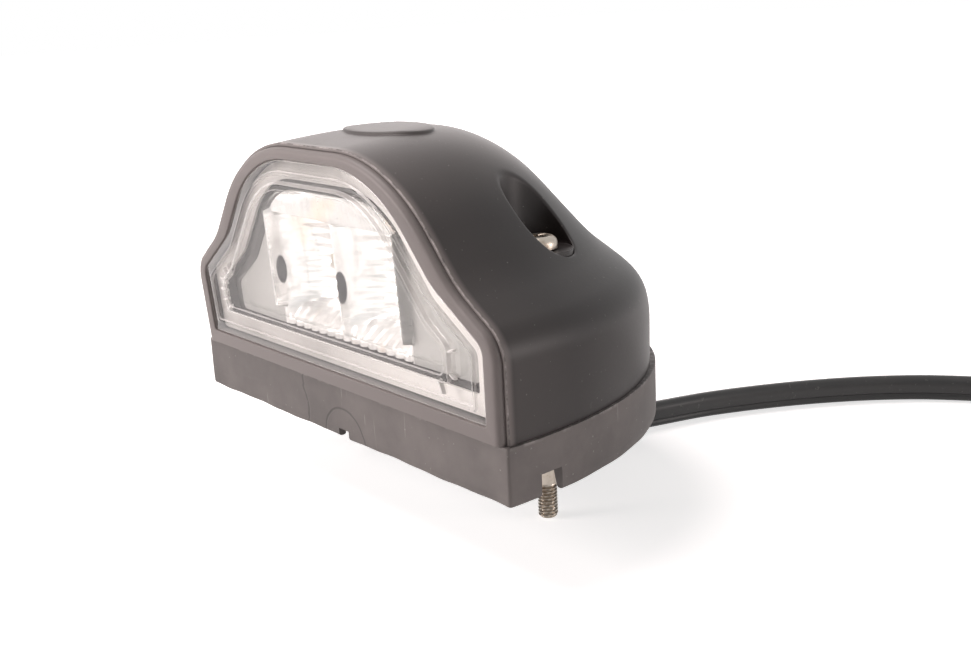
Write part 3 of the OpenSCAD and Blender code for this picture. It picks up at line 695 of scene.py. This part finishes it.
def in_detail(spot):
    """Whether a point of the dome lies where a well or the pad goes."""
    if spot.z <= 30:
        return False
    if any(math.hypot(spot.x - wx, spot.y) < well_r + reach for wx in wells):
        return True
    return (spot.x / (pad_a + 1.6)) ** 2 + ((spot.y - pad_y) / (pad_b + 1.6)) ** 2 < 1


dome_rows = [dome_row(p[0], p[1]) for p in rim[::-1]]
add_rings(dome_rows, closed=False, skip=in_detail)
bmesh.ops.remove_doubles(body, verts=body.verts, dist=2e-6)
for v in [v for v in body.verts if not v.link_faces]:
    body.verts.remove(v)
edge_left = [e for e in body.edges if len(e.link_faces) == 1]


def add_detail(rings, join_to, cap=False):
    """Adds rings to the body and fills the strip to the opening round them."""
    made, _ = add_rings(rings)
    if cap:
        body.faces.new(made[-1])
    outer = [body.edges.get(pair) for pair in zip(made[0], made[0][1:] + made[0][:1])]
    near = [e for e in edge_left if join_to((e.verts[0].co + e.verts[1].co) / 2 / MM)]
    bmesh.ops.triangle_fill(body, use_beauty=True, edges=near + outer)


def circle(cx, r, z, angles):
    """A level circle round the axis of a screw."""
    return [(cx + r * math.cos(t), r * math.sin(t), z) for t in angles]


for wx in wells:
    rings = [[on_dome(x, y) for x, y, _ in circle(wx, r, 0, turns)]
             for r in (well_r + 2.4, well_r + 1.8, well_r + 1.3, well_r + mouth)]
    corner = [on_dome(x, y) for x, y, _ in circle(wx, well_r, 0, turns)]
    edge_line = rings[-1]
    for k in np.linspace(0, 1, 7)[1:]:
        round_over = circle(wx, well_r + mouth * (1 - k) ** 2, 0, turns)
        rings.append([(x, y, (1 - k) ** 2 * outer[2] + 2 * k * (1 - k) * inner[2]
                       + k * k * max(inner[2] - mouth, 37.0))
                      for (x, y, _), outer, inner in zip(round_over, edge_line, corner)])
    wall_top = rings[-1]
    for share in (0.35, 0.7, 0.93):
        rings.append([(x, y, top[2] + (well_floor - top[2]) * share)
                      for (x, y, _), top in zip(rings[-1], wall_top)])
    rings += [circle(wx, r, z, turns) for r, z in (
        (well_r - 0.1, well_floor), (well_r - 0.5, well_floor - 0.1),
        (screw_hole, well_floor - 0.1), (screw_hole, 36.0))]
    add_detail(rings, lambda p, wx=wx: math.hypot(p.x - wx, p.y) < well_r + 5.5 and p.z > 25)
pad_steps = [(1.1, 0), (1.03, 0), (1.015, 0.06), (1.0, 0.22), (0.99, 0.42), (0.965, 0.55)]
pad_steps += [(k, pad_high) for k in (0.93, 0.8, 0.6, 0.4, 0.2, 0.05)]
pad_rings = [[on_dome(pad_a * k * math.cos(t), pad_y + pad_b * k * math.sin(t), lift)
              for t in turns] for k, lift in pad_steps]
add_detail(pad_rings,
           lambda p: (p.x / (pad_a + 4)) ** 2 + ((p.y - pad_y) / (pad_b + 4)) ** 2 < 1 and p.z > 55,
           cap=True)

lens_margins = (3.2, 4.9, 3.7, 4.4, 3.0)
seat_deep, front_thick, ledge = 3.1, 5.0, 4.5
worn_strips = 2
face_rings = [[(x, face_y(z) - SCREW_BACK, z) for x, z in bell((0, 0, 0, 0, 0))]]
face_rings += [face_ring(bell((t, t, t, t, 0)), d) for t, d in (
    (0.06, 1.66), (0.2, 1.56), (0.42, 1.52), (0.62, 1.54), (0.66, 1.75),
    (0.7, 1.9), (0.74, 1.7), (0.76, 1.25), (0.8, 0.95), (0.95, 0.6), (1.2, 0.29), (1.5, 0.1),
    (1.85, 0.02), (2.2, 0.0))]
face_rings += [face_ring(bell(lens_margins, t, 0.8), d) for t, d in (
    (-0.45, 0.0), (-0.3, 0.03), (-0.22, 0.12), (-0.2, 0.3), (-0.2, seat_deep),
    (ledge, seat_deep), (ledge, front_thick))]
_, strips = add_rings(face_rings)
for face in sum(strips[:worn_strips], []):
    face.material_index = 1
foot_y = 2 - SCREW_BACK
add_rings([[(x * k, (y - foot_y) * k + foot_y, z) for x, y, _ in dome_rows[0]]
           for k, z in ((1.0, house_foot), (0.955, house_foot), (0.955, stud_top))], closed=False)
for wx in wells:
    add_rings([circle(wx, r, z, turns) for r, z in (
        (stud_outer, stud_top), (stud_outer, stud_low + 0.3), (stud_outer - 0.3, stud_low),
        (stud_bore + 0.15, stud_low), (stud_bore, stud_low + 0.2), (stud_bore, stud_top))])


def behind_face(y, z):
    """How far a point is behind the leaning face."""
    return (y + SCREW_BACK * MM) * math.cos(lean) + z * math.sin(lean)


def moulded_finish(name):
    f = Finish(name)
    _, y, z = f.axes()
    grain = f.noise(1800, 4, 0.6)
    wide = f.noise(38, 4, 0.55)
    specks = f.noise(1500, 1).band(0.75, 0.79)
    scratch = f.noise(700, 2, 0.5, (0.12, 1, 1)).band(0.7, 0.73) * f.noise(60, 2).band(0.5, 0.65)
    deep = behind_face(y, z)
    # Painted light: the front face and the band just behind it are painted pale grey, and the roof
    # is painted lighter towards the top, as if lit from the front and from above.
    painted_face_and_roof_light = ((1 - deep.band(0.0018, 0.0034)) * 0.75 + (1 - deep.band(0.002, 0.02)) * 0.12
             + z.band(0.046, 0.059) * 0.26)
    colour = f.mix(wide.band(0.3, 0.8), (0.014, 0.0108, 0.0104), (0.022, 0.018, 0.0174))
    colour = f.mix(painted_face_and_roof_light, colour, (0.19, 0.171, 0.166))
    colour = f.mix(specks * 0.3 + scratch * 0.15, colour, (0.22, 0.21, 0.2))
    return f.done(f.skin(
        Base_Color=colour,
        Specular_IOR_Level=0.3,
        Roughness=0.38 + wide * 0.08 + grain * 0.06 + scratch * 0.1,
        Normal=f.bump(grain * 0.6 + wide * 0.2 - scratch * 0.5, 0.22, 0.00006)))


def worn_finish(name):
    f = Finish(name)
    rubbed = f.noise(420, 5, 0.65).band(0.35, 0.7)
    grain = f.noise(1800, 4, 0.6)
    return f.done(f.skin(
        Base_Color=f.mix(rubbed, (0.1, 0.09, 0.087), (0.36, 0.33, 0.32)),
        Roughness=0.5 + grain * 0.2,
        Normal=f.bump(grain + rubbed, 0.3, 0.00008)))


bmesh.ops.remove_doubles(body, verts=body.verts, dist=3e-6)
bmesh.ops.recalc_face_normals(body, faces=body.faces)
house_mesh = bpy.data.meshes.new("moulded_housing")
body.to_mesh(house_mesh)
body.free()
house_mesh.shade_smooth()
house_mesh.set_sharp_from_angle(angle=math.radians(38))
housing = bpy.data.objects.new("moulded_housing", house_mesh)
bpy.context.collection.objects.link(housing)
house_mesh.materials.append(moulded_finish("black_moulding"))
house_mesh.materials.append(worn_finish("worn_edge"))
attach(housing, "root")
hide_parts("housing")


# Lens. A clear acrylic moulding set into the housing's face. A narrow ridge
# runs round its flange, and a raised border frames the window.
window_margins = tuple(a + b for a, b in zip(lens_margins, (6.0, 6.6, 7.6, 10.6, 7.4)))


def lens_ring(t, depth):
    return face_ring(bell(lens_margins, t, 0.9), depth)


def window_ring(t, depth):
    return face_ring(bell(window_margins, t, 1.6), depth)


lens_rings = [window_ring(t, d) for t, d in (
    (0.6, 1.5), (0.6, 2.3), (0.4, 2.5), (0.1, 2.6), (0.0, 4.2), (-0.1, 4.3), (-1.1, 4.3),
    (-1.2, 4.2), (-1.2, 2.5))]
lens_rings += [lens_ring(t, d) for t, d in (
    (0.1, 2.5), (0.0, 2.4), (0.0, 0.48), (0.08, 0.36), (0.22, 0.3), (1.95, 0.3), (2.16, 0.24),
    (2.32, 0.0), (2.4, -0.15), (2.55, -0.2), (2.85, -0.2), (3.0, -0.15), (3.08, 0.0),
    (3.24, 0.24), (3.45, 0.3))]
lens_rings += [window_ring(t, d) for t, d in (
    (-1.72, 0.3), (-1.55, 0.22), (-1.46, 0.0), (-1.42, -0.45), (-1.34, -0.62), (-1.15, -0.7),
    (-0.35, -0.7), (-0.15, -0.64), (-0.05, -0.5), (0.1, -0.42), (0.3, -0.4))]
lens_shapes = [stack(lens_rings, capped=True)]
rib_first = len(lens_shapes[0][1])


def rounded_bar(centre, angle, near, far, half, low, high):
    """A small bar on the face that points away from a centre."""
    c, s = math.cos(math.radians(angle)), math.sin(math.radians(angle))
    sections = []
    for r, k in ((near, 0.3), (near + 0.12, 0.8), (near + 0.3, 1), (far - 0.3, 1),
                 (far - 0.12, 0.8), (far, 0.3)):
        side_top, top = low + (high - low) * 0.6 * k, low + (high - low) * k
        profile = [(-half * k, low), (-half * k, side_top), (-half * 0.5 * k, top),
                   (half * 0.5 * k, top), (half * k, side_top), (half * k, low)]
        sections.append([on_face(centre[0] + r * c - w * s, d, centre[1] + r * s + w * c)
                         for w, d in profile])
    return stack(sections, capped=True)


rib_x = front_corners[4][0] - window_margins[3] - 3
rib_z = house_foot + window_margins[4] + 3
for side, count, first_angle, last_angle in ((-1, 6, 220, 110), (1, 3, 290, 378)):
    for angle in np.linspace(first_angle, last_angle, count):
        lens_shapes.append(rounded_bar((side * rib_x, rib_z), angle, 4.4, 7.3, 0.26, 0.4, -0.4))


def clear_finish(name, haze_and_edge_highlight):
    f = Finish(name)
    dust = f.noise(1100, 2).band(0.7, 0.8)
    wipes = f.noise(120, 4, 0.6, (1, 1, 0.3)).band(0.5, 0.8)
    inner_side = f.node("ShaderNodeNewGeometry", {}, out="Backfacing")
    edge = f.node("ShaderNodeFresnel", {}, IOR=1.49) * (1 - inner_side)
    through = f.node("ShaderNodeBsdfTransparent", {}, Color=(0.97, 0.97, 0.965))
    shine = f.node("ShaderNodeBsdfAnisotropic", {}, Color=(1, 1, 1),
                   Roughness=0.03 + wipes * 0.05)
    haze_and_highlight_white = f.node("ShaderNodeBsdfDiffuse", {}, Color=(0.86, 0.85, 0.84))
    body = f.node("ShaderNodeMixShader", {}, edge, through, shine)
    # The white diffuse share is a light haze on the clear acrylic; on the flange edges and the ribs
    # it is raised as a painted highlight for their bright edge lines.
    return f.done(f.node("ShaderNodeMixShader", {}, haze_and_edge_highlight + wipes * 0.03 + dust * 0.3,
                         body, haze_and_highlight_white))


lens = make("clear_lens", *joined(lens_shapes), clear_finish("clear_acrylic", 0.02), 24)
# Painted highlight: the flange's side faces and the ribs get a whiter diffuse share, which stands
# for the bright lines along their edges.
lens.data.materials.append(clear_finish("acrylic_edge_painted_highlight", 0.42))
lens.data.materials.append(clear_finish("acrylic_rib_painted_highlight", 0.7))
face_in = Vector((0, math.cos(lean), math.sin(lean)))
for face in lens.data.polygons:
    depth = (face.center / MM + Vector((0, SCREW_BACK, 0))).dot(face_in)
    if abs(face.normal.dot(face_in)) < 0.94 and depth < 0.45:
        face.material_index = 1
    if face.index >= rib_first:
        face.material_index = 2
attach(lens, "root")
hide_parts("lens")


# Seal. A flat frosted ring between the lens flange and its seat. It shows as a
# pale band through the clear flange.
def seal_finish(name):
    f = Finish(name)
    x, _, z = f.axes()
    wide = f.noise(70, 4)
    streak = f.noise(900, 3, 0.5, (0.1, 1, 0.1))
    lit_side = (x - (z - 0.02) * 0.25).band(-0.02, 0.035)
    grey = f.mix(wide.band(0.3, 0.7), (0.4, 0.385, 0.375), (0.54, 0.52, 0.51))
    return f.done(f.skin(
        Base_Color=f.mix(lit_side, grey, (0.88, 0.865, 0.85)),
        Roughness=0.5 + streak * 0.2, Normal=f.bump(streak + wide, 0.3, 0.0001)))


seal = make("lens_bond", *stack([lens_ring(t, d) for t, d in (
    (0.35, 2.52), (4.25, 2.52), (4.3, 2.57), (4.3, 3.05), (4.25, 3.1), (0.35, 3.1),
    (0.3, 3.05), (0.3, 2.57), (0.35, 2.52))]), seal_finish("frosted_seal"), 30)
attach(seal, "root")
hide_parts("lens_seal")


# Reflector. A thin bright moulding that sits in the housing behind the window:
# two deep fluted bowls between satin side panels, a ribbed ledge above them and
# a hole for each light. A black plastic surround hides its edge.
bowl_x, bowl_half, bowl_z, bowl_high = 11.8, 11.5, 30.0, 15.0
bowl_front, bowl_deep, flute, flute_deep = 4.0, 8.4, 2.3, 0.2
ledge_z, ledge_deep, tick, tick_deep = 42.8, 3.7, 0.95, 0.14
sill_z, sill_rise, sill_deep, sill_wave, wave_deep = 24.5, 4.5, 4.8, 3.1, 0.25
panel_x, panel_deep, divider_x, divider_deep, divider_low = 22.9, 4.5, 23.7, 2.3, 22.8
light_x, light_z, light_hole = 12.0, 32.0, 2.7
tray_deep, tray_back = 13.9, 14.2


def relief(x, z):
    """Depth of the reflector behind the face."""
    def blend(a, b, amount):
        return a * (1 - amount) + b * amount

    side = np.abs(x)
    bowl = np.clip(1 - ((side - bowl_x) / bowl_half) ** 2, 0, 1)
    up = np.clip(np.abs(z - bowl_z) / bowl_high, 0, 1)
    deep = (bowl_front + bowl_deep * bowl ** 0.62 * (1 - 0.55 * up ** 2.5)
            + flute_deep * bowl * np.sin(2 * np.pi * z / flute))
    ticks = ledge_deep + tick_deep * np.sin(2 * np.pi * x / tick)
    deep = blend(deep, ticks, np.clip(z - ledge_z, 0, 1))
    sill = sill_deep + wave_deep * np.sin(2 * np.pi * x / sill_wave)
    deep = blend(deep, sill, np.clip((sill_z - z) / sill_rise, 0, 1))
    panel = panel_deep + 0.02 * (side - 24)
    deep = blend(deep, panel, np.clip((side - panel_x) / 0.5, 0, 1))
    divider = np.exp(-((side - divider_x) / 0.42) ** 4) * np.clip((z - divider_low) * 2, 0, 1)
    deep = blend(deep, divider_deep, divider)
    hole = np.hypot(side - light_x, z - light_z)
    return np.where(hole < light_hole, tray_deep, deep)


tray_margins = (10.0, 11.6, 10.4, 11.4, 8.0)
opening = bell(tray_margins, 0, 1.2)
half = np.array([p for p in opening[:len(opening) // 2 + 1] if p[0] >= -1e-6])
heights = np.concatenate([np.linspace(half[:, 1].min(), half[:, 1].max() - 0.4, 130),
                          half[:, 1].max() - 0.4 + 0.4 * np.linspace(0, 1, 6)[1:]])
order = np.argsort(half[:, 1])
widths = np.interp(heights, half[order][:, 1], half[order][:, 0])
widths[0] = half[half[:, 1] < half[:, 1].min() + 1e-6][:, 0].max()
across = np.linspace(-1, 1, 230)
points = []
for h, w in zip(heights, widths):
    xs = across * max(w, 0.5)
    points += [on_face(a, d, h) for a, d in zip(xs, relief(xs, np.full_like(xs, h)))]
rows_n, cols_n = len(heights), len(across)
faces = [(j * cols_n + i, j * cols_n + i + 1, (j + 1) * cols_n + i + 1, (j + 1) * cols_n + i)
         for j in range(rows_n - 1) for i in range(cols_n - 1)]
border = list(range(cols_n))
border += [j * cols_n + cols_n - 1 for j in range(1, rows_n)]
border += [(rows_n - 1) * cols_n + i for i in reversed(range(cols_n - 1))]
border += [j * cols_n for j in reversed(range(1, rows_n - 1))]
first, n = len(points), len(border)
for i in border:
    j, k = divmod(i, cols_n)
    points.append(on_face(across[k] * max(widths[j], 0.5), tray_back, heights[j]))
faces += [(border[i], border[(i + 1) % n], first + (i + 1) % n, first + i) for i in range(n)]
faces.append(tuple(range(first, first + n)))


def reflector_finish(name):
    f = Finish(name)
    x, y, z = f.axes()
    deep = behind_face(y, z)
    panel = x.calc("ABSOLUTE").band(0.0234, 0.0240)
    ticks = z.band(0.0433, 0.0439)
    sill = 1 - z.band(0.0205, 0.0245)
    brush = f.noise(500, 4, 0.6, (0.3, 1, 2))
    drift = f.noise(90, 3)

    def hole_shade_spot(cx, cz, width, height):
        """Painted shade: a dark spot where a light's hole shows in the wall of a bowl; no hole is
        cut there.
        """
        e = ((deep - 0.0046) / width) ** 2 + ((z - cz) / height) ** 2
        near = 1 - (x - cx).calc("ABSOLUTE").band(0.003, 0.0034)
        return (1 - e.band(0.8, 1.15)) * near

    # Painted shade: two dark spots in the bowl walls stand for the shadowed insides of the lights'
    # holes.
    painted_hole_shades = hole_shade_spot(-0.0218, 0.0312, 0.0011, 0.0031).calc(
        "MAXIMUM", hole_shade_spot(0.0008, 0.0306, 0.0011, 0.0034))
    bright = 1 - panel
    # Painted shade: level and upright grey streaks darken the bright parts of the bowls.
    level = f.noise(260, 3, 0.5, (0.35, 1, 1.8)).band(0.48, 0.66)
    upright = f.noise(330, 2, 0.5, (1.6, 1, 0.16)).band(0.52, 0.68)
    warm = drift.band(0.58, 0.75) * bright * 0.5
    tone = f.mix(panel, (0.95, 0.935, 0.925), (0.42, 0.41, 0.4))
    tone = f.mix(level * bright * 0.4, tone, (0.5, 0.49, 0.48))
    tone = f.mix(upright * bright * 0.35, tone, (0.5, 0.485, 0.475))
    tone = f.mix(ticks * bright * 0.55, tone, (0.5, 0.49, 0.48))
    tone = f.mix(warm, tone, (0.92, 0.7, 0.54))
    return f.done(f.skin(
        Base_Color=f.mix(painted_hole_shades, tone, (0.03, 0.03, 0.035)),
        Metallic=0.75 - sill * bright * 0.55,
        Roughness=0.18 + panel * 0.3 + ticks * 0.15 + brush * 0.12,
        Normal=f.bump(brush + drift, 0.3, 0.00012)))


reflector = make("fluted_reflector", points, faces, reflector_finish("bright_reflector"), 32)
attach(reflector, "root")
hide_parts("reflector")
outside = (0, 0, 0, 0, 2.4)
frame_rings = [face_ring(bell(m, t, 1.0), d) for m, t, d in (
    (tray_margins, 0.15, 5.0), (outside, 3.4, 5.0), (outside, 3.3, 5.1), (outside, 3.3, 6.3),
    (outside, 3.4, 6.4), (tray_margins, 0.15, 6.4), (tray_margins, 0.15, 5.0))]
surround = make("window_surround", *stack(frame_rings), moulded_finish("black_surround"), 32)
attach(surround, "root")


# Screws. Long plated steel screws with a crossed pan head, a plain shank and a
# rolled thread below the base. They go down through the wells and the studs.
slot_reach, slot_half, slot_floor = 2.1, 0.5, 39.4
head_r, shank_r, stud_r = 3.8, 1.725, 1.875
thread_top, thread_low, pitch = -9.2, -16.55, 0.7
fan = np.radians(np.linspace(0, 360, 96, endpoint=False))


def slot_edge(angle):
    """How far the crossed slot reaches in a direction."""
    best = 0.0
    for quarter in range(4):
        turn = angle - quarter * math.pi / 2
        c, s = math.cos(turn), abs(math.sin(turn))
        if c > 0:
            best = max(best, min(slot_reach / c, slot_half / max(s, 1e-6)))
    return best


def slot_ring(cx, share, z):
    """A ring with the shape of the crossed slot, larger or smaller by a share."""
    return [(cx + slot_edge(t) * share * math.cos(t), slot_edge(t) * share * math.sin(t), z)
            for t in fan]


def thread_ring(cx, z):
    """A ring of the thread, which starts below the shank and fades to the tip."""
    fade = min(1, (thread_top - z) / 0.5)
    most = 2.0 - 0.55 * max(0.0, (-16.0 - z) / 0.6)
    ring = []
    for t in fan:
        crest = 1 - abs(2 * ((z / pitch - t / (2 * math.pi)) % 1.0) - 1)
        r = min(1.9 - 0.32 * fade + 0.42 * fade * min(1, crest * 1.25), most)
        ring.append((cx + r * math.cos(t), r * math.sin(t), z))
    return ring


def steel_finish(name):
    f = Finish(name)
    grain = f.noise(1400, 4, 0.6)
    stain = f.noise(240, 4, 0.6).band(0.45, 0.7)
    turned = f.noise(2600, 2, 0.5, (0.15, 0.15, 3))
    steel = f.mix(stain, (0.42, 0.375, 0.325), (0.27, 0.215, 0.165))
    return f.done(f.skin(
        Base_Color=f.mix(grain.band(0.6, 0.75) * 0.5, steel, (0.2, 0.15, 0.11)),
        Metallic=1.0, Roughness=0.26 + stain * 0.2 + grain * 0.08,
        Normal=f.bump(grain + turned * 0.6, 0.3, 0.00006)))


plated_steel = steel_finish("plated_steel")
for cx, name in ((-screw_x, "left"), (screw_x, "right")):
    rings = [slot_ring(cx, share, z) for share, z in (
        (0.5, slot_floor), (1.0, slot_floor), (1.02, 40.7), (1.12, 40.95))]
    rings += [circle(cx, r, z, fan) for r, z in (
        (2.5, 40.98), (2.9, 40.85), (3.3, 40.6), (3.6, 40.2), (3.76, 39.7), (head_r, 39.2),
        (head_r, 38.6), (3.7, 38.42), (1.9, 38.4), (shank_r, 38.2), (shank_r, 0.1),
        (stud_r, -0.05), (stud_r, -9.0))]
    rings += [thread_ring(cx, z) for z in np.linspace(thread_top, thread_low, 91)]
    screw = make("screw_" + name + "_steel", *stack(rings, capped=True), plated_steel, 28)
    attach(screw, "root")
    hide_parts("screw_" + name)


# Inside and underneath. The closing plate, the rubber gland, the circuit board
# with its parts and the two inner leads keep their plain moulded shapes.
def dress(names, material):
    for name in names:
        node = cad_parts[name]
        node.data.materials.clear()
        node.data.materials.append(material)


def board_finish(name):
    f = Finish(name)
    tracks = (f.noise(420, 2, 0.4, (1, 1, 0.25)).band(0.52, 0.55)
              + f.noise(420, 2, 0.4, (0.25, 1, 1)).band(0.55, 0.58)).calc("MINIMUM", 1.0)
    weave = f.noise(2500, 2)
    return f.done(f.skin(
        Base_Color=f.mix(tracks, (0.012, 0.075, 0.03), (0.035, 0.16, 0.07)),
        Roughness=0.32 + weave * 0.12, Normal=f.bump(tracks + weave * 0.3, 0.3, 0.00006)))


def diode_finish(name):
    f = Finish(name)
    cells = f.noise(700, 3)
    return f.done(f.skin(
        Base_Color=f.mix(cells, (0.85, 0.66, 0.22), (0.92, 0.84, 0.5)),
        Roughness=0.22 + cells * 0.15, Normal=f.bump(cells, 0.2, 0.00005)))


def component_finish(name):
    f = Finish(name)
    speck = f.noise(1500, 3)
    ends = f.noise(300, 2).band(0.6, 0.66)
    black = f.mix(speck, (0.012, 0.012, 0.012), (0.03, 0.03, 0.03))
    return f.done(f.skin(
        Base_Color=f.mix(ends * 0.3, black, (0.25, 0.25, 0.25)),
        Roughness=0.4 + speck * 0.2, Normal=f.bump(speck, 0.2, 0.00004)))


def can_finish(name):
    f = Finish(name)
    drawn = f.noise(900, 3, 0.5, (1, 0.1, 1))
    return f.done(f.skin(
        Base_Color=f.mix(drawn, (0.7, 0.7, 0.71), (0.84, 0.84, 0.85)), Metallic=1.0,
        Roughness=0.22 + drawn * 0.2, Normal=f.bump(drawn, 0.2, 0.00004)))


dress(["closing_plate"], moulded_finish("closing_moulding"))
dress(["cable_gland"], rubber_finish("gland_rubber"))
dress(["circuit_board"], board_finish("green_board"))
dress(["led_left", "led_right"], diode_finish("yellow_diode_lens"))
dress(["resistor_left", "resistor_right", "diode", "driver_chip"],
      component_finish("moulded_component"))
dress(["capacitor"], can_finish("aluminium_can"))
dress(["board_screw_left", "board_screw_right"], plated_steel)
for name in ("red", "black"):
    dress(["core_" + name], core_finishes[name])
